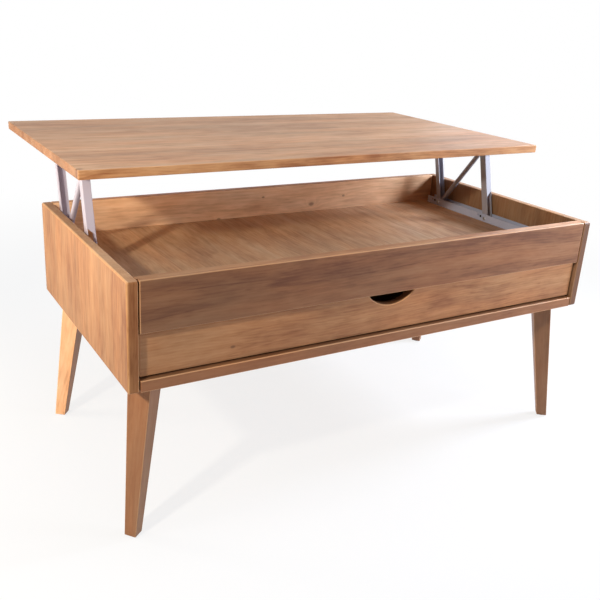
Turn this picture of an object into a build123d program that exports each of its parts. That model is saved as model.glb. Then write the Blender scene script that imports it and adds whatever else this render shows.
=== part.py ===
"""Lift-top coffee table: a splay-legged case with one drawer, and a lid on two pairs of parallel steel arms.

Modelling frame, in millimetres: the case is centred on x = y = 0 and the floor is z = 0, with +X to the
right end, +Y to the back and +Z up. The lid is drawn raised, which is the stored pose. At export every piece
moves by SHIFT_Y, so that the origin lies on the floor under the middle of the raised table.
"""
from build123d import *
import math
import os

# ---------------------------------------------------------------- case
CASE_W = 1000.0            # over the two side panels
CASE_D = 500.0             # front face to back face
CASE_BOTTOM = 276.0        # underside above the floor
CASE_H = 184.0             # underside to rim
SIDE_T = 18.0              # side panels
BACK_T = 18.0              # back panel
APRON_T = 20.0             # fixed front board
APRON_H = 86.0             # rim down to its lower edge
BOARD_T = 20.0             # bottom board
COMPARTMENT_DEPTH = 64.0   # rim down to the compartment floor
FLOOR_T = 12.0             # compartment floor
CLEAT = 16.0               # square strip that carries the floor at each end
CLEAT_END_GAP = 5.0
SHADOW_GAP_W = 2.4         # groove between a side panel and the ends of the apron and the bottom board
SHADOW_GAP_DEPTH = 9.0
PANEL_EASE = 2.0           # rounding of board edges
SIDE_EASE = 4.0            # rounding of the side panels' outer edges
SIDE_CORNER_R = 4.5        # rounding of their four corners
SMALL_EASE = 0.8

# ---------------------------------------------------------------- legs
LEG_INSET_X = 47.0         # case side to the middle of the leg's top
LEG_INSET_Y = 53.3         # case front or back to the middle of the leg's top
SPLAY_X = 34.7             # how far the foot stands out from the leg's top
SPLAY_Y = 28.1
LEG_TOP_ALONG = 38.0       # section at the top, along the splay
LEG_TOP_ACROSS = 43.5
LEG_FOOT = 21.5            # square section at the floor
LEG_EASE = 1.6
GLIDE_R = 7.5
GLIDE_T = 2.5
BOLT_R = 4.0               # hanger bolt that screws the leg on
BOLT_DEPTH = 36.0          # into the leg
NUT_R = 5.0                # barrel of the flanged nut in the bottom board
NUT_LENGTH = 15.5
NUT_FLANGE_R = 11.0
NUT_FLANGE_T = 1.5
FASTENER_GAP = 0.1

# ---------------------------------------------------------------- lift mechanism
SHEET = 1.5                # steel of the rails and arms
RAIL_W = 22.4              # over the two cheeks
RAIL_WALL_GAP = 0.6        # rail to side panel
RAIL_H = 18.0
RAIL_NOSE = 26.0           # length over which the cheeks drop to the front end
RAIL_NOSE_H = 4.0
RAIL_BEND_R = 1.2
RAIL_FRONT_MARGIN = 24.0   # past the front arm's closed tip
RAIL_REAR_MARGIN = 38.0    # past the rear pivot
LID_RAIL_H = 20.0
LID_RAIL_MARGIN = 16.5     # past the upper pivots
ARM = 165.0                # pivot to pivot, on the arms and between the lower pivots alike
ARM_W = 15.6
FRONT_ARM_DEPTH = 16.3
REAR_ARM_DEPTH = 13.5
ARM_END_R = 5.0
ARM_TAPER = 12.0           # length over which the cheeks widen from their round ends
ARM_BEND_R = 1.4
WEB_TOP_CUT = 17.0         # web stops this far below the upper pivot
WEB_FOOT_CUT = 14.0        # rear arm: web starts this far above the lower pivot
SLANT_INNER = 50.0         # front arm: slanted start of the web, at the cheek inside the case
SLANT_OUTER = 62.0
LEAN = math.radians(14.5)  # arms lean back past upright when the lid is up
PIVOT_UP = 8.0             # lower pivots above the compartment floor
PIVOT_DROP = 6.8           # upper pivots below the lid
PIVOTS_INSET = 156.5       # halfway between the two lower pivots, from the case's back
PIN_R = 2.5
PIN_HEAD_R = 4.2
PIN_HEAD_T = 1.4
PIN_FIT = 0.02             # pin fixed in a rail
TURNING_FIT = 0.05         # pin turning in an arm or an eye
COLLAR_GAP = 0.1           # spacer collar to arm
STOP_RISE = 6.0            # stop pins above the lower pivots, along the arm
STOP_PROUD = 0.8           # stop pins past the rail's inner cheek
SPARE_HOLE_R = 2.4
SPARE_HOLE_BACK = 20.0     # spare holes behind the lower pivots
SPARE_HOLE_UP = 4.5
TUBE_R = 5.5               # telescopic strut
TUBE_BORE_R = 4.1
TUBE_START = 8.0           # from the rear pivot
TUBE_BORE_START = 17.0
TUBE_MOUTH_GAP = 26.0      # mouth of the tube short of the rod's pivot, lid up
ROD_R = 3.8
ROD_END_GAP = 5.0          # rod short of the end of the bore, lid up
EYE_R = 4.9
EYE_W = 8.0
SCREW_R = 1.75
SCREW_HEAD_R = 3.6
SCREW_HEAD_TOP_R = 2.6
SCREW_HEAD_T = 1.5
SCREW_LENGTH = 9.0
SCREW_HOLE_FIT = 0.05
SCREW_RAIL_FIT = 0.45
SCREW_END_MARGIN = 14.0
LID_SCREW_PITCH = 44.0

# ---------------------------------------------------------------- lid
LID_OVERHANG_X = 12.0
LID_OVERHANG_Y = 12.0
LID_T = 16.0
LID_CORNER_R = 3.0
LID_EASE = 1.5
BUMPER_R = 5.0
BUMPER_T = 1.6
BUMPER_GAP = 0.1           # bumper to rim when the lid is down
BUMPER_INSET = 14.0
BUMPER_EASE = 0.6

# ---------------------------------------------------------------- drawer
FACE_SET_BACK = 8.0        # drawer front behind the case's front face
FACE_T = 16.0
FACE_SIDE_GAP = 2.5
FACE_TOP_GAP = 1.5
FACE_LOW_GAP = 3.0
NOTCH_W = 105.0            # half-moon finger pull
NOTCH_DEPTH = 24.0
NOTCH_BEVEL = 1.6
RUNNER_SPACE = 12.0        # drawer side to side panel
DRAWER_SIDE_T = 12.0
DRAWER_TOP_GAP = 5.0       # drawer box under the floor's cleats
DRAWER_LIFT = 7.0          # drawer box above the bottom board
DRAWER_BACK_GAP = 36.0     # drawer box to back panel
DRAWER_FLOOR_T = 5.0
DRAWER_FLOOR_UP = 6.0      # under the drawer floor, from the sides' lower edge
GROOVE = 5.0
RUNNER_H = 35.0            # centred on the drawer's sides
RUNNER_T = 1.2
RUNNER_LIP = 8.0
RUNNER_PLAY = 0.4
RUNNER_FRONT_GAP = 1.0
RUNNER_REAR_GAP = 17.0     # case runner to back panel
RUNNER_SHORT = 6.0         # drawer runner short of the drawer's back
RUNNER_BEAD = 6.5

# ---------------------------------------------------------------- places that follow from the sizes
HALF_W = CASE_W / 2
HALF_D = CASE_D / 2
INNER_X = HALF_W - SIDE_T
BACK_Y = HALF_D - BACK_T                       # inner face of the back panel
RIM = CASE_BOTTOM + CASE_H
BOARD_TOP = CASE_BOTTOM + BOARD_T
APRON_LOW = RIM - APRON_H
FLOOR_TOP = RIM - COMPARTMENT_DEPTH
FLOOR_LOW = FLOOR_TOP - FLOOR_T

LEG_X = HALF_W - LEG_INSET_X
LEG_Y = HALF_D - LEG_INSET_Y
FOOT_X = LEG_X + SPLAY_X
FOOT_Y = LEG_Y + SPLAY_Y

RAIL_OUT = INNER_X - RAIL_WALL_GAP
RAIL_IN = RAIL_OUT - RAIL_W
ARM_X = (RAIL_IN + RAIL_OUT) / 2
PIVOT_Z = FLOOR_TOP + PIVOT_UP
PIVOTS_MID_Y = HALF_D - PIVOTS_INSET
REAR_Y = PIVOTS_MID_Y + ARM / 2
FRONT_Y = PIVOTS_MID_Y - ARM / 2
TIP_Y = ARM * math.sin(LEAN)                   # upper pivot from lower pivot, lid up
TIP_Z = ARM * math.cos(LEAN)
LID_LOW = PIVOT_Z + TIP_Z + PIVOT_DROP
LID_DOWN_LOW = RIM + BUMPER_T + BUMPER_GAP     # underside of the lid when it is down
DOWN = math.acos((LID_DOWN_LOW - PIVOT_DROP - PIVOT_Z) / ARM)   # arms from upright when the lid is down
DOWN_TIP_Y = ARM * math.sin(DOWN)
RAIL_Y0 = FRONT_Y - DOWN_TIP_Y - RAIL_FRONT_MARGIN
RAIL_Y1 = REAR_Y + RAIL_REAR_MARGIN
STRUT_SHORT = math.hypot(REAR_Y - FRONT_Y - TIP_Y, TIP_Z)       # pivot to pivot, lid up
TUBE_END = STRUT_SHORT - TUBE_MOUTH_GAP
ROD_REACH = STRUT_SHORT - TUBE_BORE_START - ROD_END_GAP
LID_RAIL_Y0 = FRONT_Y + TIP_Y - LID_RAIL_MARGIN
LID_RAIL_Y1 = REAR_Y + TIP_Y + LID_RAIL_MARGIN
BASE_SCREW_Y0 = RAIL_Y0 + SCREW_END_MARGIN
BASE_SCREWS = (BASE_SCREW_Y0, (BASE_SCREW_Y0 + FRONT_Y) / 2, PIVOTS_MID_Y, RAIL_Y1 - SCREW_END_MARGIN)
LID_SCREWS = tuple(PIVOTS_MID_Y + TIP_Y + k * LID_SCREW_PITCH for k in (-1, 0, 1))

LID_W = CASE_W + 2 * LID_OVERHANG_X
LID_D = CASE_D + 2 * LID_OVERHANG_Y
LID_Y = TIP_Y + DOWN_TIP_Y                     # the lid swings back by this much as it rises
LID_TOP = LID_LOW + LID_T
SHIFT_Y = -(LID_Y + LID_D / 2 - HALF_D) / 2

FACE_Y0 = FACE_SET_BACK - HALF_D
FACE_Y1 = FACE_Y0 + FACE_T
FACE_TOP = APRON_LOW - FACE_TOP_GAP
DRAWER_X = INNER_X - RUNNER_SPACE              # outside of the drawer's sides
DRAWER_IN_X = DRAWER_X - DRAWER_SIDE_T
DRAWER_Z0 = BOARD_TOP + DRAWER_LIFT
DRAWER_Z1 = FLOOR_LOW - CLEAT - DRAWER_TOP_GAP
DRAWER_Y1 = BACK_Y - DRAWER_BACK_GAP
DRAWER_FLOOR_Z0 = DRAWER_Z0 + DRAWER_FLOOR_UP
DRAWER_FLOOR_Z1 = DRAWER_FLOOR_Z0 + DRAWER_FLOOR_T
RUNNER_Z0 = (DRAWER_Z0 + DRAWER_Z1 - RUNNER_H) / 2
RUNNER_Z1 = RUNNER_Z0 + RUNNER_H

PAST = 1.0                 # how far a cutter runs past the face it opens
pieces = {}


# ---------------------------------------------------------------- helpers
def block(x0, x1, y0, y1, z0, z1, ease=0.0):
    """A box between two corners, with all its edges rounded by ease."""
    middle = Pos((x0 + x1) / 2, (y0 + y1) / 2, (z0 + z1) / 2)
    box = middle * Box(x1 - x0, y1 - y0, z1 - z0)
    return fillet(box.edges(), ease) if ease else box


def disc(x, y, z0, z1, radius):
    """A cylinder standing on the point x, y between two heights."""
    return Pos(x, y, (z0 + z1) / 2) * Cylinder(radius, z1 - z0)


def cross_pin(x0, x1, y, z, radius):
    """A cylinder along X."""
    return Pos((x0 + x1) / 2, y, z) * Rot(0, 90, 0) * Cylinder(radius, x1 - x0)


def to_left(shape):
    return mirror(shape, about=Plane.YZ)


def to_front(shape):
    return mirror(shape, about=Plane.XZ)


def add_pair(name, right_piece):
    """Store the right-hand piece and its mirror image."""
    pieces[f"{name}_right"] = right_piece
    pieces[f"{name}_left"] = to_left(right_piece)


def join(shapes):
    """Several loose solids as one node."""
    return Compound(list(shapes))


# ---------------------------------------------------------------- case
def cross_board(y1, z0, z1):
    """A board at the front: its face stops short of the side panels, and a tongue behind it meets them."""
    face_x = INNER_X - SHADOW_GAP_W
    face = block(-face_x, face_x, -HALF_D, y1, z0, z1, PANEL_EASE)
    return face + block(-INNER_X, INNER_X, SHADOW_GAP_DEPTH - HALF_D, y1, z0, z1)


def make_bottom_board():
    board = cross_board(BACK_Y, CASE_BOTTOM, BOARD_TOP)
    seat = BOARD_TOP - NUT_FLANGE_T - FASTENER_GAP
    for x in (-LEG_X, LEG_X):
        for y in (-LEG_Y, LEG_Y):
            board -= disc(x, y, CASE_BOTTOM - PAST, BOARD_TOP + PAST, NUT_R + FASTENER_GAP)
            board -= disc(x, y, seat, BOARD_TOP + PAST, NUT_FLANGE_R + FASTENER_GAP)
    return board


def make_side_panel():
    panel = block(INNER_X, HALF_W, -HALF_D, HALF_D, CASE_BOTTOM, RIM)
    panel = fillet(panel.edges().filter_by(Axis.X), SIDE_CORNER_R)
    panel = fillet(panel.faces().sort_by(Axis.X)[-1].edges(), SIDE_EASE)
    return fillet(panel.faces().sort_by(Axis.X)[0].edges(), PANEL_EASE)


def make_compartment_floor():
    floor = block(-INNER_X, INNER_X, APRON_T - HALF_D, BACK_Y, FLOOR_LOW, FLOOR_TOP)
    hole_end = FLOOR_TOP - SCREW_LENGTH - FASTENER_GAP
    for x in (-ARM_X, ARM_X):
        for y in BASE_SCREWS:
            floor -= disc(x, y, hole_end, FLOOR_TOP + PAST, SCREW_R + SCREW_HOLE_FIT)
    return floor


def make_case():
    add_pair("side_panel", make_side_panel())
    pieces["back_panel"] = block(-INNER_X, INNER_X, BACK_Y, HALF_D, CASE_BOTTOM, RIM, PANEL_EASE)
    pieces["front_apron"] = cross_board(APRON_T - HALF_D, APRON_LOW, RIM)
    pieces["bottom_board"] = make_bottom_board()
    pieces["compartment_floor"] = make_compartment_floor()
    y0 = FACE_Y1 + CLEAT_END_GAP
    y1 = BACK_Y - CLEAT_END_GAP
    cleat = block(INNER_X - CLEAT, INNER_X, y0, y1, FLOOR_LOW - CLEAT, FLOOR_LOW, SMALL_EASE)
    add_pair("floor_cleat", cleat)


# ---------------------------------------------------------------- legs
def leg_section(x, y, z, along, across):
    """A rectangle at height z, turned towards the leg's splay."""
    plane = Plane(origin=(x, y, z), x_dir=(SPLAY_X, SPLAY_Y, 0), z_dir=(0, 0, 1))
    return plane * Rectangle(along, across)


def make_leg():
    rise = GLIDE_T / CASE_BOTTOM
    foot = leg_section(FOOT_X - SPLAY_X * rise, FOOT_Y - SPLAY_Y * rise, GLIDE_T, LEG_FOOT, LEG_FOOT)
    top = leg_section(LEG_X, LEG_Y, CASE_BOTTOM, LEG_TOP_ALONG, LEG_TOP_ACROSS)
    leg = loft([foot, top])
    long_edges = leg.edges().filter_by(lambda edge: edge.length > (CASE_BOTTOM - GLIDE_T) / 2)
    leg = fillet(long_edges, LEG_EASE)
    hole_end = CASE_BOTTOM - BOLT_DEPTH - PAST
    return leg - disc(LEG_X, LEG_Y, hole_end, CASE_BOTTOM + PAST, BOLT_R + FASTENER_GAP)


def make_leg_bolt():
    """Hanger bolt and the flanged nut that it screws into."""
    nut_top = BOARD_TOP - FASTENER_GAP
    flange_low = nut_top - NUT_FLANGE_T
    bolt = disc(LEG_X, LEG_Y, CASE_BOTTOM - BOLT_DEPTH, flange_low, BOLT_R)
    barrel = disc(LEG_X, LEG_Y, flange_low - NUT_LENGTH, flange_low, NUT_R)
    return bolt + barrel + disc(LEG_X, LEG_Y, flange_low, nut_top, NUT_FLANGE_R)


def make_glide():
    glide = disc(FOOT_X, FOOT_Y, 0, GLIDE_T, GLIDE_R)
    return fillet(glide.edges().group_by(Axis.Z)[0], SMALL_EASE)


def make_legs():
    for base_name, make in (("leg", make_leg), ("leg_bolt", make_leg_bolt), ("foot_glide", make_glide)):
        piece = make()
        add_pair(f"{base_name}_back", piece)
        add_pair(f"{base_name}_front", to_front(piece))


# ---------------------------------------------------------------- rails
def channel(y0, y1, web_z, tip_z):
    """A straight U rail along Y: its web is at web_z and its cheeks run to tip_z."""
    way = 1 if tip_z > web_z else -1
    outer = block(RAIL_IN, RAIL_OUT, y0, y1, min(web_z, tip_z), max(web_z, tip_z))
    bends = outer.edges().filter_by(Axis.Y).group_by(Axis.Z)[0 if way > 0 else -1]
    outer = fillet(bends, RAIL_BEND_R)
    z0, z1 = sorted((web_z + way * SHEET, tip_z + way * PAST))
    return outer - block(RAIL_IN + SHEET, RAIL_OUT - SHEET, y0 - PAST, y1 + PAST, z0, z1)


def screw(y, web_z, way):
    """A pan-head screw that points along Z by way, with its head on a web of SHEET thickness at web_z."""
    seat = web_z + way * SHEET
    tip = web_z - way * SCREW_LENGTH
    shank = disc(ARM_X, y, min(seat, tip), max(seat, tip), SCREW_R)
    head = Cone(SCREW_HEAD_R, SCREW_HEAD_TOP_R, SCREW_HEAD_T)
    turn = Rot(0, 0, 0) if way > 0 else Rot(180, 0, 0)
    return shank + Pos(ARM_X, y, seat + way * SCREW_HEAD_T / 2) * turn * head


def stop_place(pivot_y, arm_depth):
    """A stop pin bears on the back of the arm when the lid is up."""
    out = arm_depth / 2 + PIN_R + PIN_FIT
    y = pivot_y + STOP_RISE * math.sin(LEAN) + out * math.cos(LEAN)
    z = PIVOT_Z + STOP_RISE * math.cos(LEAN) - out * math.sin(LEAN)
    return y, z


STOPS = (stop_place(REAR_Y, REAR_ARM_DEPTH), stop_place(FRONT_Y, FRONT_ARM_DEPTH))


def make_base_rail():
    rail = channel(RAIL_Y0, RAIL_Y1, FLOOR_TOP, FLOOR_TOP + RAIL_H)
    slope = Polyline(
        (RAIL_Y0, FLOOR_TOP + RAIL_NOSE_H),
        (RAIL_Y0 + RAIL_NOSE, FLOOR_TOP + RAIL_H),
        (RAIL_Y0 + RAIL_NOSE, FLOOR_TOP + RAIL_H + PAST),
        (RAIL_Y0 - PAST, FLOOR_TOP + RAIL_H + PAST),
        (RAIL_Y0 - PAST, FLOOR_TOP + RAIL_NOSE_H),
        close=True,
    )
    rail -= Pos(ARM_X, 0, 0) * Plane.YZ * extrude(make_face(slope), RAIL_W, both=True)
    for y, z in ((REAR_Y, PIVOT_Z), (FRONT_Y, PIVOT_Z), *STOPS):
        rail -= cross_pin(RAIL_IN - PAST, RAIL_OUT + PAST, y, z, PIN_R + PIN_FIT)
    spare_z = PIVOT_Z + SPARE_HOLE_UP
    for y in (REAR_Y + SPARE_HOLE_BACK, FRONT_Y + SPARE_HOLE_BACK):
        rail -= cross_pin(RAIL_IN - PAST, RAIL_IN + SHEET + PAST, y, spare_z, SPARE_HOLE_R)
    for y in BASE_SCREWS:
        rail -= disc(ARM_X, y, FLOOR_TOP - PAST, FLOOR_TOP + SHEET + PAST, SCREW_R + SCREW_RAIL_FIT)
    return rail


def make_lid_rail():
    rail = channel(LID_RAIL_Y0, LID_RAIL_Y1, LID_LOW, LID_LOW - LID_RAIL_H)
    for y in (REAR_Y + TIP_Y, FRONT_Y + TIP_Y):
        rail -= cross_pin(RAIL_IN - PAST, RAIL_OUT + PAST, y, PIVOT_Z + TIP_Z, PIN_R + PIN_FIT)
    for y in LID_SCREWS:
        rail -= disc(ARM_X, y, LID_LOW - SHEET - PAST, LID_LOW + PAST, SCREW_R + SCREW_RAIL_FIT)
    return rail


def make_rails():
    add_pair("base_rail", make_base_rail())
    add_pair("base_rail_screws", join(screw(y, FLOOR_TOP, 1) for y in BASE_SCREWS))
    add_pair("stop_pins", join(cross_pin(RAIL_IN - STOP_PROUD, RAIL_OUT, y, z, PIN_R) for y, z in STOPS))
    add_pair("lid_rail", make_lid_rail())
    add_pair("lid_rail_screws", join(screw(y, LID_LOW, -1) for y in LID_SCREWS))


# ---------------------------------------------------------------- arms, struts and their pins
def pivot_pin(y, z):
    """A rivet through both cheeks of a rail, with a head on the inside and a collar each side of the arm."""
    pin = cross_pin(RAIL_IN, RAIL_OUT, y, z, PIN_R)
    head = Cone(PIN_HEAD_R, PIN_HEAD_R - PIN_HEAD_T, PIN_HEAD_T)
    pin += Pos(RAIL_IN - PIN_HEAD_T / 2, y, z) * Rot(0, -90, 0) * head
    arm_side = ARM_W / 2 + COLLAR_GAP
    pin += cross_pin(RAIL_IN + SHEET, ARM_X - arm_side, y, z, PIN_HEAD_R)
    pin += cross_pin(ARM_X + arm_side, RAIL_OUT - SHEET, y, z, PIN_HEAD_R)
    return pin


def on_link(y, z, back_angle):
    """A frame at a pivot whose +Z runs along a link; the angle is measured back from upright."""
    return Pos(ARM_X, y, z) * Rot(-math.degrees(back_angle), 0, 0)


def eye_bore(z):
    return Pos(0, 0, z) * Rot(0, 90, 0) * Cylinder(PIN_R + TURNING_FIT, ARM_W + 2 * PAST)


def arm_blank(depth):
    """The outside of an arm standing on its lower pivot: round ends, with full depth in between."""
    half = depth / 2
    outline = Polyline(
        (-ARM_END_R, 0),
        (-half, ARM_TAPER),
        (-half, ARM - ARM_TAPER),
        (-ARM_END_R, ARM),
        (ARM_END_R, ARM),
        (half, ARM - ARM_TAPER),
        (half, ARM_TAPER),
        (ARM_END_R, 0),
        close=True,
    )
    round_end = Rot(0, 90, 0) * Cylinder(ARM_END_R, ARM_W)
    body = Plane.YZ * extrude(make_face(outline), ARM_W / 2, both=True)
    return body + round_end + Pos(0, 0, ARM) * round_end


def pressed_arm(depth, web_at_front, foot_cut_inner, foot_cut_outer):
    """A U arm: two cheeks joined by a web that stops short of both pivots."""
    half = depth / 2
    inside = ARM_W / 2 - SHEET
    reach = ARM + ARM_END_R + PAST
    web_y = -half if web_at_front else half
    inward = 1 if web_at_front else -1
    hollow_y0, hollow_y1 = sorted((web_y + inward * SHEET, -web_y + inward * PAST))
    arm = arm_blank(depth)
    bends = arm.edges().filter_by(Axis.Z).group_by(Axis.Y)[0 if web_at_front else -1]
    arm = fillet(bends, ARM_BEND_R)
    arm -= block(-inside, inside, hollow_y0, hollow_y1, -reach, reach)
    arm -= block(-inside, inside, -depth, depth, ARM - WEB_TOP_CUT, reach)
    foot_cut = Polyline(
        (-inside, -reach),
        (inside, -reach),
        (inside, foot_cut_outer),
        (-inside, foot_cut_inner),
        close=True,
    )
    arm -= Plane.XZ * extrude(make_face(foot_cut), depth, both=True)
    return arm - eye_bore(0) - eye_bore(ARM)


def make_arms():
    rear = pressed_arm(REAR_ARM_DEPTH, False, WEB_FOOT_CUT, WEB_FOOT_CUT)
    front = pressed_arm(FRONT_ARM_DEPTH, True, SLANT_INNER, SLANT_OUTER)
    add_pair("rear_arm", on_link(REAR_Y, PIVOT_Z, LEAN) * rear)
    add_pair("front_arm", on_link(FRONT_Y, PIVOT_Z, LEAN) * front)
    for place, y in (("rear", REAR_Y), ("front", FRONT_Y)):
        add_pair(f"lower_pin_{place}", pivot_pin(y, PIVOT_Z))
        add_pair(f"upper_pin_{place}", pivot_pin(y + TIP_Y, PIVOT_Z + TIP_Z))


def eye():
    return Rot(0, 90, 0) * Cylinder(EYE_R, EYE_W)


def make_strut_tube():
    """Runs from the rear arm's lower pin."""
    tube = disc(0, 0, TUBE_START, TUBE_END, TUBE_R)
    tube -= disc(0, 0, TUBE_BORE_START, TUBE_END + PAST, TUBE_BORE_R)
    neck = block(-EYE_W / 2, EYE_W / 2, -TUBE_BORE_R, TUBE_BORE_R, 0, TUBE_START + PAST)
    return tube + neck + eye() - eye_bore(0)


def make_strut_rod():
    """Runs down from the front arm's upper pin into the tube."""
    return disc(0, 0, -ROD_REACH, 0, ROD_R) + eye() - eye_bore(0)


def make_struts():
    """The strut joins the rear arm's lower pin to the front arm's upper pin.

    The lower pivots are as far apart as an arm is long, so the strut turns half as far as the arms do.
    """
    run_y = FRONT_Y + TIP_Y - REAR_Y
    angle = math.atan2(run_y, TIP_Z)
    add_pair("strut_tube", on_link(REAR_Y, PIVOT_Z, angle) * make_strut_tube())
    add_pair("strut_rod", on_link(FRONT_Y + TIP_Y, PIVOT_Z + TIP_Z, angle) * make_strut_rod())


# ---------------------------------------------------------------- lid
def make_lid():
    y0 = LID_Y - LID_D / 2
    y1 = LID_Y + LID_D / 2
    lid = block(-LID_W / 2, LID_W / 2, y0, y1, LID_LOW, LID_TOP)
    lid = fillet(lid.edges().filter_by(Axis.Z), LID_CORNER_R)
    lid = fillet(lid.edges().group_by(Axis.Z)[-1] + lid.edges().group_by(Axis.Z)[0], LID_EASE)
    hole_end = LID_LOW + SCREW_LENGTH + FASTENER_GAP
    for x in (-ARM_X, ARM_X):
        for y in LID_SCREWS:
            lid -= disc(x, y, LID_LOW - PAST, hole_end, SCREW_R + SCREW_HOLE_FIT)
    pieces["lid_panel"] = lid
    reach = HALF_D - BUMPER_INSET
    for place, y in (("front", LID_Y - reach), ("back", LID_Y + reach)):
        pad = disc(HALF_W - SIDE_T / 2, y, LID_LOW - BUMPER_T, LID_LOW, BUMPER_R)
        add_pair(f"lid_bumper_{place}", fillet(pad.edges().group_by(Axis.Z)[0], BUMPER_EASE))


# ---------------------------------------------------------------- drawer
def make_drawer_floor():
    reach = DRAWER_IN_X + GROOVE
    return block(-reach, reach, FACE_Y1 - GROOVE, DRAWER_Y1, DRAWER_FLOOR_Z0, DRAWER_FLOOR_Z1)


def make_drawer_front():
    face_x = INNER_X - FACE_SIDE_GAP
    face = block(-face_x, face_x, FACE_Y0, FACE_Y1, BOARD_TOP + FACE_LOW_GAP, FACE_TOP, PANEL_EASE)
    radius = ((NOTCH_W / 2) ** 2 + NOTCH_DEPTH ** 2) / (2 * NOTCH_DEPTH)
    notch = Pos(0, FACE_Y0, FACE_TOP - NOTCH_DEPTH + radius) * Rot(90, 0, 0)
    face -= notch * Cylinder(radius, 2 * (FACE_T + PAST))
    face -= notch * Cone(radius, radius + 2 * NOTCH_BEVEL, 2 * NOTCH_BEVEL)
    return face - make_drawer_floor()


def make_runners():
    """A C section on the case and a beaded bar on the drawer that slides inside it."""
    y0 = FACE_Y1 + RUNNER_FRONT_GAP
    y1 = BACK_Y - RUNNER_REAR_GAP
    case_part = block(INNER_X - RUNNER_LIP, INNER_X, y0, y1, RUNNER_Z0, RUNNER_Z1)
    case_part -= block(INNER_X - RUNNER_LIP - PAST, INNER_X - RUNNER_T, y0 - PAST, y1 + PAST,
                       RUNNER_Z0 + RUNNER_T, RUNNER_Z1 - RUNNER_T)
    add_pair("runner_case", case_part)
    play = RUNNER_T + RUNNER_PLAY
    y1 = DRAWER_Y1 - RUNNER_SHORT
    drawer_part = block(DRAWER_X, INNER_X - play, y0, y1, RUNNER_Z0 + play, RUNNER_Z1 - play)
    drawer_part -= block(DRAWER_X + RUNNER_T, INNER_X, y0 - PAST, y1 + PAST,
                         RUNNER_Z0 + RUNNER_BEAD, RUNNER_Z1 - RUNNER_BEAD)
    add_pair("runner_drawer", drawer_part)


def make_drawer():
    pieces["drawer_front"] = make_drawer_front()
    pieces["drawer_bottom"] = make_drawer_floor()
    side = block(DRAWER_IN_X, DRAWER_X, FACE_Y1, DRAWER_Y1, DRAWER_Z0, DRAWER_Z1)
    add_pair("drawer_side", side - make_drawer_floor())
    pieces["drawer_back"] = block(-DRAWER_IN_X, DRAWER_IN_X, DRAWER_Y1 - DRAWER_SIDE_T, DRAWER_Y1,
                                  DRAWER_FLOOR_Z1, DRAWER_Z1)
    make_runners()


def main():
    make_case()
    make_legs()
    make_rails()
    make_arms()
    make_struts()
    make_lid()
    make_drawer()
    os.makedirs("parts", exist_ok=True)
    for name in sorted(pieces):
        export_step(Pos(0, SHIFT_Y, 0) * pieces[name], f"parts/{name}.step")
    print(f"{len(pieces)} pieces")
    print(f"lid closes after {math.degrees(LEAN + DOWN):.3f} degrees; origin shift {SHIFT_Y:.4f} mm")


main()
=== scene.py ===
"""The looks of a lift-top coffee table: solid stained wood, grey painted steel arms, and a plain pale studio.

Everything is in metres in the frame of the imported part: +X to the right end, +Y to the back, +Z up.
"""
import math
from dataclasses import dataclass

import bmesh
import bpy
from mathutils import Matrix, Vector


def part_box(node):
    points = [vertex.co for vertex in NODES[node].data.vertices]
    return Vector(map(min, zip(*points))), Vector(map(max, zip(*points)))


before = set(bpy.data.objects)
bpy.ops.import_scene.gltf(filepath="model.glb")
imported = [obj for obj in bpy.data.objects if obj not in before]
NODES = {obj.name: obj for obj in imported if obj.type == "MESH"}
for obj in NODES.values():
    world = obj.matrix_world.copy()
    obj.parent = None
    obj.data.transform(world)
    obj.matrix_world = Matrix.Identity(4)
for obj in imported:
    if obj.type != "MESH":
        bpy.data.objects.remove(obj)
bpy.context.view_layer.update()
SIDES = ("left", "right")

X_AXIS = Vector((1, 0, 0))
Y_AXIS = Vector((0, 1, 0))
Z_AXIS = Vector((0, 0, 1))
MM = 0.001
WHITE = (1, 1, 1, 1)


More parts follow.
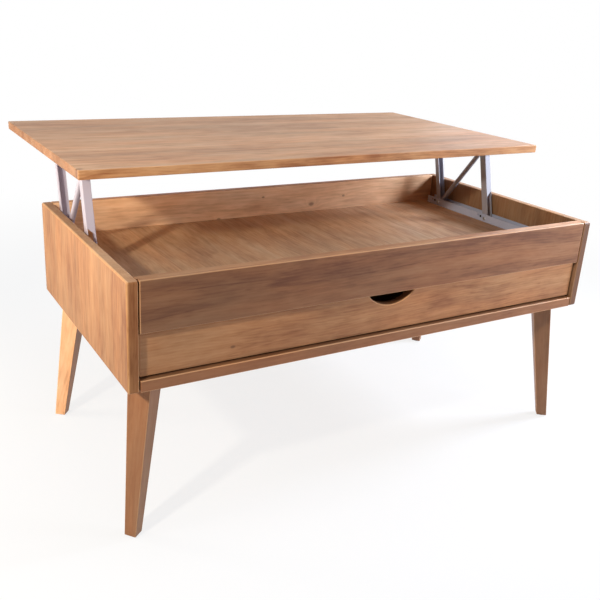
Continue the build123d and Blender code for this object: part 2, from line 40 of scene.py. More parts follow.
# ---------------------------------------------------------------- shader graphs
class Graph:
    """Adds nodes to a material's tree. Any input may be a number, a vector or another node's output."""

    def __init__(self, tree):
        self.tree = tree

    def node(self, kind, inputs=(), **settings):
        """Inputs are pairs of a socket's name or number and what goes into it."""
        made = self.tree.nodes.new(kind)
        for name, value in settings.items():
            setattr(made, name, value)
        for socket, value in inputs:
            self.feed(made.inputs[socket], value)
        return made

    def feed(self, socket, value):
        if isinstance(value, bpy.types.NodeSocket):
            self.tree.links.new(value, socket)
        else:
            socket.default_value = value

    def math(self, operation, a, b=0.0, c=0.0):
        made = self.node("ShaderNodeMath", [(0, a), (1, b), (2, c)], operation=operation)
        return made.outputs[0]

    def add(self, *terms):
        total = terms[0]
        for term in terms[1:]:
            total = self.math("ADD", total, term)
        return total

    def subtract(self, a, b):
        return self.math("SUBTRACT", a, b)

    def multiply(self, a, b):
        return self.math("MULTIPLY", a, b)

    def maximum(self, a, b):
        return self.math("MAXIMUM", a, b)

    def scaled(self, value, factor, offset):
        return self.math("MULTIPLY_ADD", value, factor, offset)

    def spread(self, noise, middle, width):
        """Noise from 0 to 1 spread over a width around a middle value."""
        return self.scaled(noise, width, middle - width / 2)

    def contrast(self, value, middle, factor):
        """The value's distance from the middle times a factor."""
        return self.scaled(value, factor, middle * (1 - factor))

    def combine(self, x, y, z):
        return self.node("ShaderNodeCombineXYZ", [(0, x), (1, y), (2, z)]).outputs[0]

    def dot(self, a, b):
        made = self.node("ShaderNodeVectorMath", [(0, a), (1, b)], operation="DOT_PRODUCT")
        return made.outputs["Value"]

    def texture(self, kind):
        """The point's place, as Object, or the way its surface looks, as Normal."""
        return self.node("ShaderNodeTexCoord").outputs[kind]

    def noise(self, vector, detail=2.0, roughness=0.5):
        inputs = [("Vector", vector), ("Scale", 1.0), ("Detail", detail), ("Roughness", roughness)]
        return self.node("ShaderNodeTexNoise", inputs).outputs["Fac"]

    def mottle(self, per_metre, detail):
        """Noise over the whole piece that changes so many times per metre along each axis."""
        inputs = [(0, self.texture("Object")), (1, per_metre)]
        made = self.node("ShaderNodeVectorMath", inputs, operation="MULTIPLY")
        return self.noise(made.outputs[0], detail)

    def random(self, x, y):
        """Three unrelated numbers from 0 to 1 that stay the same for the same x and y."""
        vector = self.combine(x, y, 0.0)
        made = self.node("ShaderNodeTexWhiteNoise", [("Vector", vector)], noise_dimensions="2D")
        return self.node("ShaderNodeSeparateColor", [(0, made.outputs["Color"])]).outputs

    def step(self, value, start, end, low=0.0, high=1.0):
        """A smooth ramp from low at start to high at end."""
        inputs = [("Value", value), ("From Min", start), ("From Max", end), ("To Min", low), ("To Max", high)]
        made = self.node("ShaderNodeMapRange", inputs, interpolation_type="SMOOTHSTEP")
        return made.outputs["Result"]

    def mix(self, factor, a, b, blend="MIX"):
        made = self.node("ShaderNodeMix", data_type="RGBA", blend_type=blend)
        self.feed(made.inputs["Factor"], factor)
        self.feed(made.inputs["A"], a)
        self.feed(made.inputs["B"], b)
        return made.outputs["Result"]

    def ramp(self, factor, stops):
        """Colours by place, from a list of pairs of place and colour."""
        made = self.node("ShaderNodeValToRGB", [("Fac", factor)])
        elements = made.color_ramp.elements
        while len(elements) < len(stops):
            elements.new(0.5)
        for element, (place, colour) in zip(elements, stops):
            element.position = place
            element.color = colour
        return made.outputs["Color"]

    def bump(self, height, distance, strength):
        inputs = [("Height", height), ("Distance", distance), ("Strength", strength)]
        return self.node("ShaderNodeBump", inputs).outputs["Normal"]


def srgb(red, green, blue):
    """A colour as it looks, in steps of 0 to 255, as the linear colour that a shader takes."""
    def linear(step):
        share = step / 255
        return share / 12.92 if share <= 0.04045 else ((share + 0.055) / 1.055) ** 2.4
    return (linear(red), linear(green), linear(blue), 1.0)


def toned(colour, factor):
    """A colour made lighter or darker."""
    return tuple(factor * channel for channel in colour[:3]) + (1.0,)


def new_material(name):
    """An empty material, its graph and its main shader."""
    material = bpy.data.materials.new(name)
    material.use_nodes = True
    graph = Graph(material.node_tree)
    shader = material.node_tree.nodes["Principled BSDF"]
    return material, graph, shader


def dress(graph, shader, colour, roughness, normal):
    """What each material gives its shader from its nodes."""
    for socket, value in (("Base Color", colour), ("Roughness", roughness), ("Normal", normal)):
        graph.feed(shader.inputs[socket], value)


# ---------------------------------------------------------------- wood
# Light, middle and dark tones of the oiled wood, and of the paler wood inside the drawer.
TABLE_TONES = (srgb(221, 169, 121), srgb(203, 148, 101), srgb(156, 101, 64))
BOX_TONES = (srgb(226, 196, 150), srgb(206, 172, 124), srgb(170, 132, 88))
MIDDLE_PLACE = 0.42                # of the middle tone, from 0 for the light one to 1 for the dark one
NO_STAIN = (1, 1, 1)
BARE_AND_HIGHLIGHT_STAIN = (1.12, 1.14, 1.16, 1)  # on an arris that is worn through its finish, and as a painted highlight on an arris
BARE_AND_HIGHLIGHT_SHARE = 0.7
WEAR_AND_HIGHLIGHT_TONE, WEAR_AND_HIGHLIGHT_CLOUDS = -0.5, -0.6  # how wear and a painted highlight lighten an arris, all along it and in places

# Noise drawn out along the grain: how often it changes per metre along and across, and how it is made.
# The shift sets one layer apart from the others.
LAYERS = {
    "fibre": {"along": 60.0, "across": 900.0},
    "fine": {"along": 22.0, "across": 210.0, "shift": 5.0},
    "streak": {"along": 7.0, "across": 62.0, "detail": 3.0, "roughness": 0.55},
    "blotch": {"along": 3.0, "across": 14.0, "shift": 7.0},
    "cloud": {"along": 15.0, "across": 32.0, "detail": 3.0, "roughness": 0.6, "shift": 11.0},
    "warmth": {"along": 5.0, "across": 24.0, "shift": 17.0},
    "fleck": {"along": 34.0, "across": 330.0, "detail": 1.0, "shift": 29.0},
    "band": {"along": 1.4, "across": 34.0, "detail": 1.0, "shift": 23.0},
    "wave": {"along": 4.0, "across": 12.0, "shift": 2.0},
}
SWAY = 30 * MM                     # how far the grain swings aside
SWAY_ALONG, SWAY_ACROSS = 3.0, 7.0  # how often it does so per metre

# Growth rings. A stave's pith lies under it, and wanders on its way along the board.
RING_GAP = 4.6 * MM
RING_WAVE = 14 * MM
PITH_DEPTH, PITH_DEPTH_WIDTH = -0.07, 0.10
PITH_ASIDE_WIDTH = 0.12
WANDER_ASIDE, WANDER_DEPTH = 0.07, 0.09
ASIDE_PER_METRE, DEPTH_PER_METRE = 1.6, 1.1
ASIDE_GAP, DEPTH_GAP, DEPTH_LINE = 5.3, 4.7, 9.0  # keep the staves' paths through the noise apart
YEAR_GAP = 3.0                     # keeps the staves' years apart
LATE_RISE = (0.10, 0.86)           # where in its year the late wood comes, and how soon it ends
LATE_FALL = (1.0, 0.90)
WEAK_YEAR = 0.2                    # late wood of the palest year

KNOT_TONE = srgb(84, 50, 34)
KNOT_STRENGTH = 0.6
KNOT_LENGTH_SHARE = 0.62           # a knot is longer than it is wide
KNOT_EDGES = (1.35, 0.45)          # in its radii
KNOT_PUSH, KNOT_PUSH_FALL = 2.4, -0.16

# How much each layer darkens the wood where it is strong.
TONE_SHARES = {"streak": 0.62, "fine": 0.55, "fibre": 0.22, "blotch": 0.80, "cloud": 0.66}
TONE_MIDDLE = 0.40
LATE_TONE = 0.12
FLECK_TONE = 0.16
FLECK_EDGES = (0.62, 0.76)
BAND_EDGES = (0.36, 0.64)
BORDER_WIDTH, BORDER_SHARE = 0.025, 1.2  # of the dark wavy line along a band's edge
END_MIDDLE, END_CONTRAST = 0.44, 0.5
EDGE_MIDDLE = 0.42
STAVE_SHADES = 0.14                # how far the staves differ in lightness
WARMTH_WIDTH = 0.30                # how far the wood changes between redder and bluer
SEAM_EDGES = (0.9 * MM, 0.2 * MM)

# How far a surface turns towards the board's end, or towards its face, where each part of it starts and is
# all there, as a cosine.
END_TURN = (0.6, 0.9)
EDGE_TURN = (0.8, 0.5)
FRONT_TURN = (-0.2, 0.2)
ARRIS_FROM_FACE = (0.985, 0.90)
ARRIS_FROM_EDGE = (0.12, 0.35)

WOOD_ROUGHNESS, FINE_ROUGHNESS, END_ROUGHNESS = 0.38, 0.14, 0.12  # of all wood, and what these add
RELIEF_DEPTH, RELIEF_STRENGTH = 0.22 * MM, 0.6
RELIEF_SHARES = {"fibre": -0.6, "fine": -0.4}
LATE_RELIEF, SEAM_RELIEF = 0.3, -1.5
END_RELIEF_LOSS = 0.9


@dataclass
class Board:
    """How one piece of wood is cut and finished.

    A stain is the shares of red, green and blue that the finish lets through. The face, edge and end stains
    also paint the light and shade that fall differently on each face, edge and end.
    """
    along: Vector                  # the way of its grain
    across: Vector                 # the way in which its staves lie side by side
    seed: float                    # sets its grain apart from other boards'
    tones: tuple = TABLE_TONES
    stave: float = 0.09            # a stave's width
    seam: float = 0.2              # how dark the line between two staves is
    contrast: float = 1.0
    edge_contrast: float = 1.0     # of the long edges, next to that of the faces
    bands: float = 0.0             # strength of a broad wavy figure
    stain: tuple = NO_STAIN        # of its back, and of all of it where no other is given
    front_stain_and_light: tuple = None      # of the face that looks along the product of along and across, which also paints the light and shade on that face
    edge_stain_and_light: tuple = None       # of its long edges, which also paints the light and shade on them
    end_stain_and_light: tuple = None        # of its end grain, which also paints the light and sheen on it
    painted_light_drift: tuple = (1, 1)          # painted light and shade: how much lighter or darker the wood is made at the two ends of its grain
    arris_wear_and_highlight: float = 0.35             # how much its arrises are worn and lit by a painted highlight
    gloss: float = 0.34
    knots: tuple = ()              # places along and across the board from its lowest corner, and radii

    def __post_init__(self):
        self.along = Vector(self.along).normalized()
        self.across = Vector(self.across).normalized()
        self.through = self.along.cross(self.across)
        self.front_stain_and_light = self.front_stain_and_light or self.stain
        self.edge_stain_and_light = self.edge_stain_and_light or self.stain
        self.end_stain_and_light = self.end_stain_and_light or self.edge_stain_and_light


def grain_layers(graph, board, u, v, w):
    """Every layer of noise that is drawn out along the board's grain."""
    sway_place = graph.combine(graph.scaled(u, SWAY_ALONG, board.seed), graph.multiply(v, SWAY_ACROSS), w)
    swayed = graph.add(v, graph.spread(graph.noise(sway_place, 1.0), 0.0, SWAY))

    def layer(along, across, detail=2.0, roughness=0.5, shift=0.0):
        vector = graph.combine(graph.scaled(u, along, board.seed + shift), graph.multiply(swayed, across),
                               graph.multiply(w, across))
        return graph.noise(vector, detail, roughness)

    return {name: layer(**settings) for name, settings in LAYERS.items()}


def add_knots(graph, board, u, v):
    """How far the knots push the rings aside, and how much of a point is knot."""
    push, mask = 0.0, 0.0
    for along, across, radius in board.knots:
        du = graph.scaled(u, KNOT_LENGTH_SHARE / radius, -KNOT_LENGTH_SHARE * along / radius)
        dv = graph.scaled(v, 1 / radius, -across / radius)
        square = graph.add(graph.multiply(du, du), graph.multiply(dv, dv))
        bulge = graph.math("EXPONENT", graph.multiply(square, KNOT_PUSH_FALL))
        push = graph.add(push, graph.multiply(bulge, KNOT_PUSH * radius))
        mask = graph.maximum(mask, graph.step(graph.math("SQRT", square), *KNOT_EDGES))
    return push, mask


def growth_rings(graph, board, u, v, w, pushes):
    """How much of a point is late wood, and how light its stave is. The pushes move the rings aside."""
    stave = graph.math("FLOOR", graph.multiply(v, 1 / board.stave))
    aside, depth, shade = graph.random(stave, board.seed)[:3]
    aside_path = graph.combine(graph.multiply(u, ASIDE_PER_METRE),
                               graph.scaled(stave, ASIDE_GAP, board.seed), 0.0)
    depth_path = graph.combine(graph.multiply(u, DEPTH_PER_METRE), DEPTH_LINE,
                               graph.scaled(stave, DEPTH_GAP, board.seed))
    pith_v = graph.add(graph.scaled(stave, board.stave, board.stave / 2),
                       graph.spread(aside, 0.0, PITH_ASIDE_WIDTH),
                       graph.spread(graph.noise(aside_path, 1.0), 0.0, WANDER_ASIDE))
    pith_w = graph.add(graph.spread(depth, PITH_DEPTH, -PITH_DEPTH_WIDTH),
                       graph.spread(graph.noise(depth_path, 1.0), 0.0, WANDER_DEPTH))
    dv = graph.subtract(v, pith_v)
    dw = graph.subtract(w, pith_w)
    radius = graph.math("SQRT", graph.add(graph.multiply(dv, dv), graph.multiply(dw, dw)))

    rings = graph.multiply(graph.add(radius, *pushes), 1 / RING_GAP)
    year = graph.random(graph.math("FLOOR", rings), graph.scaled(stave, YEAR_GAP, board.seed))[0]
    part = graph.math("FRACT", rings)
    late = graph.multiply(graph.step(part, *LATE_RISE), graph.step(part, *LATE_FALL))
    late = graph.multiply(late, graph.scaled(year, 1 - WEAK_YEAR, WEAK_YEAR))
    return late, shade


def stave_seams(graph, board, v):
    """The thin lines between staves."""
    part = graph.math("FRACT", graph.multiply(v, 1 / board.stave))
    away = graph.math("MINIMUM", part, graph.subtract(1.0, part))
    start, end = (edge / board.stave for edge in SEAM_EDGES)
    return graph.step(away, start, end, 0.0, board.seam)


def board_parts(graph, board):
    """How far a point lies on end grain, on a long edge, on the board's front and on an arris."""
    normal = graph.texture("Normal")
    through = graph.dot(normal, board.through)
    to_face = graph.math("ABSOLUTE", through)
    to_end = graph.math("ABSOLUTE", graph.dot(normal, board.along))
    return {
        "end": graph.step(to_end, *END_TURN),
        "edge": graph.step(to_face, *EDGE_TURN),
        "front": graph.step(through, *FRONT_TURN),
        "arris": graph.multiply(graph.step(to_face, *ARRIS_FROM_FACE), graph.step(to_face, *ARRIS_FROM_EDGE)),
    }


def wood_tone(graph, board, layers, late, parts):
    """Where a point's colour lies between the board's light, middle and dark tones."""
    shares = [graph.spread(layers[layer], 0.0, share) for layer, share in TONE_SHARES.items()]
    fleck = graph.step(layers["fleck"], *FLECK_EDGES)
    tone = graph.add(graph.multiply(late, LATE_TONE), graph.multiply(fleck, FLECK_TONE), *shares)
    tone = graph.scaled(tone, board.contrast, TONE_MIDDLE)
    if board.bands:
        border = graph.math("ABSOLUTE", graph.spread(layers["band"], 0.0, 1.0))
        tone = graph.add(tone, graph.step(layers["band"], *BAND_EDGES, -board.bands, board.bands),
                         graph.step(border, BORDER_WIDTH, 0.0, 0.0, BORDER_SHARE * board.bands))
    tone = graph.mix(parts["end"], tone, graph.contrast(tone, END_MIDDLE, END_CONTRAST))
    tone = graph.mix(parts["edge"], tone, graph.contrast(tone, EDGE_MIDDLE, board.edge_contrast))
    # Wear and a painted highlight lighten the arrises.
    wear_and_highlight = graph.scaled(layers["cloud"], WEAR_AND_HIGHLIGHT_CLOUDS * board.arris_wear_and_highlight, WEAR_AND_HIGHLIGHT_TONE * board.arris_wear_and_highlight)
    return graph.add(tone, graph.multiply(parts["arris"], wear_and_highlight))


def wood_stain_and_light(graph, board, parts):
    """The finish over a point's tone, which also paints light and shade by face and a highlight on the
    arrises.
    """
    stain = graph.mix(parts["front"], (*board.stain, 1), (*board.front_stain_and_light, 1))
    stain = graph.mix(parts["edge"], stain, (*board.edge_stain_and_light, 1))
    stain = graph.mix(parts["end"], stain, (*board.end_stain_and_light, 1))
    return graph.mix(graph.multiply(parts["arris"], BARE_AND_HIGHLIGHT_SHARE * board.arris_wear_and_highlight), stain, BARE_AND_HIGHLIGHT_STAIN)


def wood_shades(graph, warmth, stave_shade, painted_light_drift):
    """How light a point's stave makes it, how much lighter or darker its place along the board is painted as
    light and shade, and how warm its wood is.
    """
    shade = graph.multiply(graph.spread(stave_shade, 1.0, STAVE_SHADES), painted_light_drift)
    warm = graph.spread(warmth, 1.0, WARMTH_WIDTH)
    cool = graph.spread(warmth, 1.0, -WARMTH_WIDTH)
    return graph.combine(graph.multiply(shade, warm), shade, graph.multiply(shade, cool))


def wood(name, node, board):
    """Solid wood: growth rings around a pith that wanders under each stave, fibres, clouds and knots."""
    material, graph, shader = new_material(name)
    low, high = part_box(node)
    length = abs((high - low).dot(board.along))
    place = graph.texture("Object")
    # From the board's lowest corner: along its grain, across its staves and through it.
    u, v, w = (graph.subtract(graph.dot(place, way), min(low.dot(way), high.dot(way)))
               for way in (board.along, board.across, board.through))

    layers = grain_layers(graph, board, u, v, w)
    knot_push, knot = add_knots(graph, board, u, v)
    wave = graph.spread(layers["wave"], 0.0, RING_WAVE)
    late, stave_shade = growth_rings(graph, board, u, v, w, (wave, knot_push))
    seam = stave_seams(graph, board, v)
    parts = board_parts(graph, board)

    light, middle, dark = board.tones
    stops = [(0.0, light), (MIDDLE_PLACE, middle), (1.0, dark)]
    colour = graph.ramp(wood_tone(graph, board, layers, late, parts), stops)
    # The stains also paint light and shade on the faces, edges and ends, and a highlight on the arrises.
    colour = graph.mix(1.0, colour, wood_stain_and_light(graph, board, parts), "MULTIPLY")
    # Painted light and shade: the wood is made lighter or darker along its grain.
    painted_light_drift = graph.step(u, 0.0, length, *board.painted_light_drift)
    colour = graph.mix(1.0, colour, wood_shades(graph, layers["warmth"], stave_shade, painted_light_drift), "MULTIPLY")
    colour = graph.mix(seam, colour, dark)
    colour = graph.mix(graph.multiply(knot, KNOT_STRENGTH), colour, KNOT_TONE)

    roughness = graph.add(graph.scaled(layers["fine"], FINE_ROUGHNESS, WOOD_ROUGHNESS),
                          graph.multiply(parts["end"], END_ROUGHNESS))
    relief = graph.add(*(graph.multiply(layers[layer], share) for layer, share in RELIEF_SHARES.items()),
                       graph.multiply(late, LATE_RELIEF), graph.multiply(seam, SEAM_RELIEF))
    relief = graph.multiply(relief, graph.scaled(parts["end"], -END_RELIEF_LOSS, 1.0))
    dress(graph, shader, colour, roughness, graph.bump(relief, RELIEF_DEPTH, RELIEF_STRENGTH))
    shader.inputs["Specular IOR Level"].default_value = board.gloss
    return material


# ---------------------------------------------------------------- metal, plastic and rubber
# Fine grains and clouds, by how often they change per metre along each axis, and the relief of the grains.
PEEL_PER_METRE = (900, 900, 900)
PAINT_CLOUDS_PER_METRE = (18, 18, 18)
PAINT_ROUGHNESS, CLOUD_ROUGHNESS = 0.34, 0.12
BRUSHING_PER_METRE = (2500, 60, 2500)
ZINC_CLOUDS_PER_METRE = (60, 60, 60)
BRUSHING_ROUGHNESS = 0.2
MOULD_GRAIN_PER_METRE = (1500, 1500, 1500)
MOULD_ROUGHNESS = 0.15
FINE_GRAIN = {"distance": 0.05 * MM, "strength": 0.5}
BRUSHED_GRAIN = {"distance": 0.02 * MM, "strength": 0.4}
DULL_ZINC = 0.72                   # the duller of zinc's two tones, next to the other
WORN_PLASTIC = 1.6                 # the paler of plastic's two tones, next to the other


def painted_steel(name, pale, dull):
    """Powder coat with a fine orange peel, a little cloudy between two tones."""
    material, graph, shader = new_material(name)
    peel = graph.mottle(PEEL_PER_METRE, 2.0)
    cloud = graph.mottle(PAINT_CLOUDS_PER_METRE, 3.0)
    roughness = graph.scaled(cloud, CLOUD_ROUGHNESS, PAINT_ROUGHNESS)
    dress(graph, shader, graph.mix(cloud, pale, dull), roughness, graph.bump(peel, **FINE_GRAIN))
    return material


def zinc_steel(name, tone, rough):
    """Bare or zinc-plated steel, brushed and a little cloudy."""
    material, graph, shader = new_material(name)
    brushed = graph.mottle(BRUSHING_PER_METRE, 2.0)
    cloud = graph.mottle(ZINC_CLOUDS_PER_METRE, 3.0)
    colour = graph.mix(cloud, tone, toned(tone, DULL_ZINC))
    roughness = graph.scaled(brushed, BRUSHING_ROUGHNESS, rough)
    dress(graph, shader, colour, roughness, graph.bump(brushed, **BRUSHED_GRAIN))
    shader.inputs["Metallic"].default_value = 1.0
    return material


def soft_plastic(name, tone, rough):
    """Moulded plastic or rubber with a fine grain."""
    material, graph, shader = new_material(name)
    grain = graph.mottle(MOULD_GRAIN_PER_METRE, 2.0)
    colour = graph.mix(grain, tone, toned(tone, WORN_PLASTIC))
    roughness = graph.scaled(grain, MOULD_ROUGHNESS, rough)
    dress(graph, shader, colour, roughness, graph.bump(grain, **FINE_GRAIN))
    return material


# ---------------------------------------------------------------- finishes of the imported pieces
def finish_node(name, material):
    """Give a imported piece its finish."""
    slots = NODES[name].data.materials
    slots.clear()
    slots.append(material)


def case_boards():
    """The boards of the lid, the case and the drawer, by node."""
    # Painted light and shade in the stains: a lighter, bluer lid top and paler side rims as painted sheen, a
    # lighter back panel inside and apron top edge as painted light, and darker right panel inside and edges,
    # bottom board top and drawer front edges as painted shade.
    boards = {
        "lid_panel": Board(
            X_AXIS, Y_AXIS, seed=3.0, stave=0.075, contrast=0.95, edge_contrast=2.0, bands=0.09,
            front_stain_and_light=(1.00, 1.08, 1.26), edge_stain_and_light=(1.02, 0.98, 0.92), end_stain_and_light=(0.74, 0.74, 0.86),
            arris_wear_and_highlight=0.1, gloss=0.15, knots=[(0.004, 0.010, 0.0045)]),
        "side_panel_left": Board(
            Z_AXIS, Y_AXIS, seed=11.0, stave=0.068, contrast=1.25, bands=0.07,
            stain=(0.70, 0.70, 0.74), front_stain_and_light=(0.74, 0.69, 0.63), edge_stain_and_light=(0.54, 0.50, 0.46),
            end_stain_and_light=(0.72, 0.88, 1.16), painted_light_drift=(0.92, 1.04), arris_wear_and_highlight=0.5, gloss=0.12),
        "side_panel_right": Board(
            Z_AXIS, Y_AXIS, seed=17.0, stave=0.068,
            stain=(0.92, 0.89, 0.85), front_stain_and_light=(0.46, 0.50, 0.57), edge_stain_and_light=(0.25, 0.22, 0.24),
            end_stain_and_light=(0.90, 1.00, 1.15)),
        "back_panel": Board(
            X_AXIS, Z_AXIS, seed=23.0, stave=0.3, contrast=0.9, bands=0.08,
            stain=(0.90, 0.90, 0.88), front_stain_and_light=(1.30, 1.56, 1.92),
            knots=[(0.360, 0.120, 0.0030), (0.470, 0.162, 0.0022), (0.600, 0.136, 0.0045),
                   (0.690, 0.150, 0.0026)]),
        "front_apron": Board(
            X_AXIS, Z_AXIS, seed=29.0, stave=0.3, contrast=1.3, bands=0.19,
            stain=(0.475, 0.395, 0.365), edge_stain_and_light=(0.78, 0.76, 0.78), painted_light_drift=(0.64, 1.18), arris_wear_and_highlight=0.7),
        "bottom_board": Board(
            X_AXIS, Y_AXIS, seed=31.0, stave=0.11,
            stain=(0.80, 0.78, 0.78), front_stain_and_light=(0.40, 0.37, 0.37), edge_stain_and_light=(0.48, 0.39, 0.35),
            painted_light_drift=(0.84, 1.08), arris_wear_and_highlight=0.9),
        "compartment_floor": Board(
            Y_AXIS, X_AXIS, seed=37.0, stave=0.15, seam=0.6, contrast=1.25,
            stain=(0.76, 0.90, 1.07), painted_light_drift=(0.93, 1.13)),
        "drawer_front": Board(
            X_AXIS, Z_AXIS, seed=41.0, stave=0.3, contrast=1.3, bands=0.12,
            front_stain_and_light=(0.78, 0.70, 0.63), edge_stain_and_light=(0.40, 0.38, 0.40), painted_light_drift=(0.74, 1.05), arris_wear_and_highlight=1.0,
            knots=[(0.160, 0.023, 0.003)]),
        "drawer_back": Board(X_AXIS, Z_AXIS, seed=43.0, tones=BOX_TONES, stave=0.3),
        "drawer_bottom": Board(X_AXIS, Y_AXIS, seed=47.0, tones=BOX_TONES, stave=0.6, contrast=0.7),
    }
    for number, side in enumerate(SIDES):
        boards[f"floor_cleat_{side}"] = Board(Y_AXIS, Z_AXIS, seed=53.0 + number, tones=BOX_TONES, stave=0.3)
        boards[f"drawer_side_{side}"] = Board(Y_AXIS, Z_AXIS, seed=59.0 + number, tones=BOX_TONES, stave=0.3)
    return boards


def leg_ways(corner):
    """A leg's grain, from the glide under its foot to the bolt in its top, and the way across its splay."""
    foot_low, foot_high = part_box(f"foot_glide_{corner}")
    top_low, top_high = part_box(f"leg_bolt_{corner}")
    along = (top_low + top_high) / 2 - (foot_low + foot_high) / 2
    outward = Vector((-along.x, -along.y, 0)).normalized()
    return along, outward.cross(Z_AXIS)


# The stains of each leg's inner face, outer face and other two faces, which also paint the light and shade on
# each face, most of all the light on the back left leg's outer and side faces.
LEG_STAINS_AND_LIGHT = {
    "front_left": ((0.50, 0.45, 0.46), (0.52, 0.46, 0.45), (0.42, 0.38, 0.38)),
    "front_right": ((0.50, 0.45, 0.46), (0.50, 0.45, 0.46), (0.40, 0.37, 0.38)),
    "back_left": ((0.46, 0.41, 0.41), (0.90, 0.92, 1.00), (1.42, 1.56, 1.85)),
    "back_right": ((0.40, 0.36, 0.38), (0.50, 0.45, 0.46), (0.50, 0.45, 0.46)),
}


def leg_boards():
    """The legs, as the boards that they are cut from, by node."""
    boards = {}
    for number, (corner, (inner, outer, beside)) in enumerate(LEG_STAINS_AND_LIGHT.items()):
        boards[f"leg_{corner}"] = Board(
            *leg_ways(corner), seed=61.0 + 3 * number, stave=0.3, contrast=0.9,
            stain=inner, front_stain_and_light=outer, edge_stain_and_light=beside, arris_wear_and_highlight=0.4)
    return boards


def finish_boards():
    for name, board in (case_boards() | leg_boards()).items():
        finish_node(name, wood(f"wood_{name}", name, board))


def finish_hardware():
    # Painted light and shade: one grey paint, made lighter on the left arms as painted light and darker on
    # the right arms as painted shade.
    lit_and_shaded_paints = {
        "left": painted_steel("arm_paint_lit_left", srgb(202, 194, 206), srgb(188, 180, 192)),
        "right": painted_steel("arm_paint_shaded_right", srgb(164, 162, 170), srgb(146, 146, 156)),
    }
    zinc = zinc_steel("zinc_plate", srgb(196, 196, 194), 0.28)
    finishes = {
        # Painted reflection: the rails' paint is lighter and bluer than the arms', standing in for the pale
        # reflection on them.
        "base_rail": painted_steel("rail_paint_and_reflection", srgb(184, 192, 214), srgb(166, 174, 196)),
        "runner": zinc_steel("runner_zinc", srgb(206, 207, 208), 0.24),
        "leg_bolt": zinc_steel("bolt_zinc", srgb(186, 182, 170), 0.32),
        "foot_glide": soft_plastic("glide_black", srgb(38, 34, 31), 0.5),
        "lid_bumper": soft_plastic("bumper_rubber", srgb(72, 68, 66), 0.6),
        # The stop pins are near black, partly as black oxide and partly as painted shade of the dark holes
        # beside them.
        "stop_pins": zinc_steel("black_oxide_and_shade", srgb(58, 54, 54), 0.45),
        "lower_pin": zinc,
        "upper_pin": zinc,
    }
    for side in SIDES:
        for kind in ("lid_rail", "rear_arm", "front_arm", "strut_tube", "strut_rod"):
            finishes[f"{kind}_{side}"] = lit_and_shaded_paints[side]
    for name in NODES:
        if name.endswith(("screws_left", "screws_right")):
            finish_node(name, zinc)
            continue
        for start, material in finishes.items():
            if name.startswith(start):
                finish_node(name, material)


# ---------------------------------------------------------------- studio
AMBIENT = 0.06                     # strength of the plain world on the object
FLOOR_SIZE = 12.0
FLOOR_DROP = 0.5 * MM              # below the feet
FLOOR_GREY = (0.90, 0.90, 0.90, 1)
FLOOR_ROUGHNESS = 0.9
WHITE_NEAR, WHITE_FAR = 0.80, 1.0  # how white the floor looks under the table and far from it
WHITE_RAMP = (0.5, 2.2)            # metres from the middle between which that changes


def seen_rays(graph):
    """1 for the rays that show the background: those of the camera, of glossy metal and of clear things."""
    rays = graph.node("ShaderNodeLightPath").outputs
    seen = graph.maximum(rays["Is Camera Ray"], rays["Is Glossy Ray"])
    return graph.maximum(seen, rays["Is Transmission Ray"])


def floor_material():
    """Pale and matt, and mostly white to the rays that show the background, so that a faint shadow stays."""
    material, graph, shader = new_material("pale_floor")
    shader.inputs["Base Color"].default_value = FLOOR_GREY
    shader.inputs["Roughness"].default_value = FLOOR_ROUGHNESS
    glow = graph.node("ShaderNodeEmission", [("Color", WHITE), ("Strength", 1.0)])
    middle = graph.node("ShaderNodeVectorMath", [(0, graph.texture("Object"))], operation="LENGTH")
    white = graph.step(middle.outputs["Value"], *WHITE_RAMP, WHITE_NEAR, WHITE_FAR)
    surfaces = [(1, shader.outputs[0]), (2, glow.outputs[0])]
    mixed = graph.node("ShaderNodeMixShader", [(0, graph.multiply(seen_rays(graph), white))] + surfaces)
    output = material.node_tree.nodes["Material Output"]
    graph.feed(output.inputs["Surface"], mixed.outputs[0])
    return material


def make_stage():
    """A floor under the table's feet."""
    mesh = bpy.data.meshes.new("studio_floor")
    builder = bmesh.new()
    bmesh.ops.create_grid(builder, x_segments=1, y_segments=1, size=FLOOR_SIZE)
    builder.to_mesh(mesh)
    builder.free()
    floor = bpy.data.objects.new("studio_floor", mesh)
    bpy.context.scene.collection.objects.link(floor)
    floor.location.z = -FLOOR_DROP
    floor.data.materials.append(floor_material())


def make_world():
    world = bpy.data.worlds.new("studio")
    world.use_nodes = True
    graph = Graph(world.node_tree)
    background = world.node_tree.nodes["Background"]
    graph.feed(background.inputs["Color"], WHITE)
    graph.feed(background.inputs["Strength"], graph.scaled(seen_rays(graph), 1.0 - AMBIENT, AMBIENT))
    bpy.context.scene.world = world


WARM = (1.0, 0.92, 0.80)
COOL = (0.90, 1.0, 1.22)
PALE = (0.93, 0.98, 1.10)
LAMPS_FACE = Vector((0.0, -0.1, 0.42))

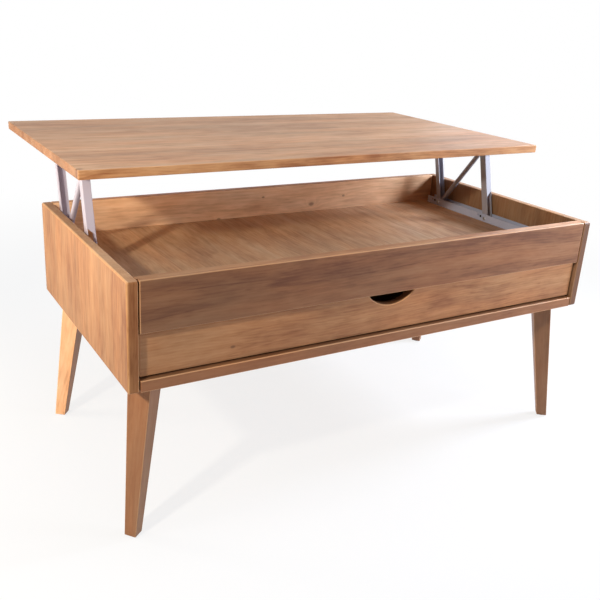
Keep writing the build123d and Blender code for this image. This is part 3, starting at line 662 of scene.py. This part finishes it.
# Place, side of the square, power in watts, and tint.
LAMPS = {
    "key": ((-1.50, -0.82, 1.13), 0.10, 18.0, WARM),
    "left": ((-1.05, -0.20, 0.75), 0.20, 1.2, WARM),
    "left_back": ((-1.15, 0.42, 0.30), 0.25, 4.4, WARM),
    "right": ((1.35, -0.385, 0.95), 0.30, 19.2, COOL),
    "right_back": ((2.40, 1.60, 1.00), 1.00, 4.4, COOL),
    "front_right": ((1.70, -1.50, 0.80), 0.80, 21.7, PALE),
    "top": ((0.00, 0.30, 2.80), 1.50, 15.0, PALE),
}


def make_lights():
    """Warm lamps on the left, cool ones on the right, and a broad one overhead."""
    for name, (place, side, power, tint) in LAMPS.items():
        lamp = bpy.data.lights.new(name, "AREA")
        lamp.shape = "SQUARE"
        lamp.size = side
        lamp.energy = power
        lamp.color = tint
        light = bpy.data.objects.new(name, lamp)
        light.location = place
        light.rotation_euler = (LAMPS_FACE - Vector(place)).to_track_quat("-Z", "Y").to_euler()
        bpy.context.scene.collection.objects.link(light)


CAMERA_PLACE = (-0.8429, -1.3683, 0.8476)
CAMERA_TURN, CAMERA_DOWN, CAMERA_TILT = 0.5427, 0.3529, 0.0565  # radians
FOCAL_LENGTH, SENSOR_WIDTH = 46.256, 36.0                       # millimetres
SHIFT_X, SHIFT_Y = 0.0253, -0.0170


def make_camera():
    """The view of the product picture: from the left, a little above the raised lid, turned slightly."""
    lens = bpy.data.cameras.new("camera")
    lens.sensor_width = SENSOR_WIDTH
    lens.lens = FOCAL_LENGTH
    lens.shift_x = SHIFT_X
    lens.shift_y = SHIFT_Y
    camera = bpy.data.objects.new("camera", lens)
    turned = Matrix.Rotation(-CAMERA_TURN, 4, "Z") @ Matrix.Rotation(math.pi / 2 - CAMERA_DOWN, 4, "X")
    camera.matrix_world = Matrix.Translation(CAMERA_PLACE) @ turned @ Matrix.Rotation(CAMERA_TILT, 4, "Z")
    bpy.context.scene.collection.objects.link(camera)
    bpy.context.scene.camera = camera


make_camera()
finish_boards()
finish_hardware()
make_stage()
make_world()
make_lights()
bpy.context.scene.view_settings.view_transform = "Standard"
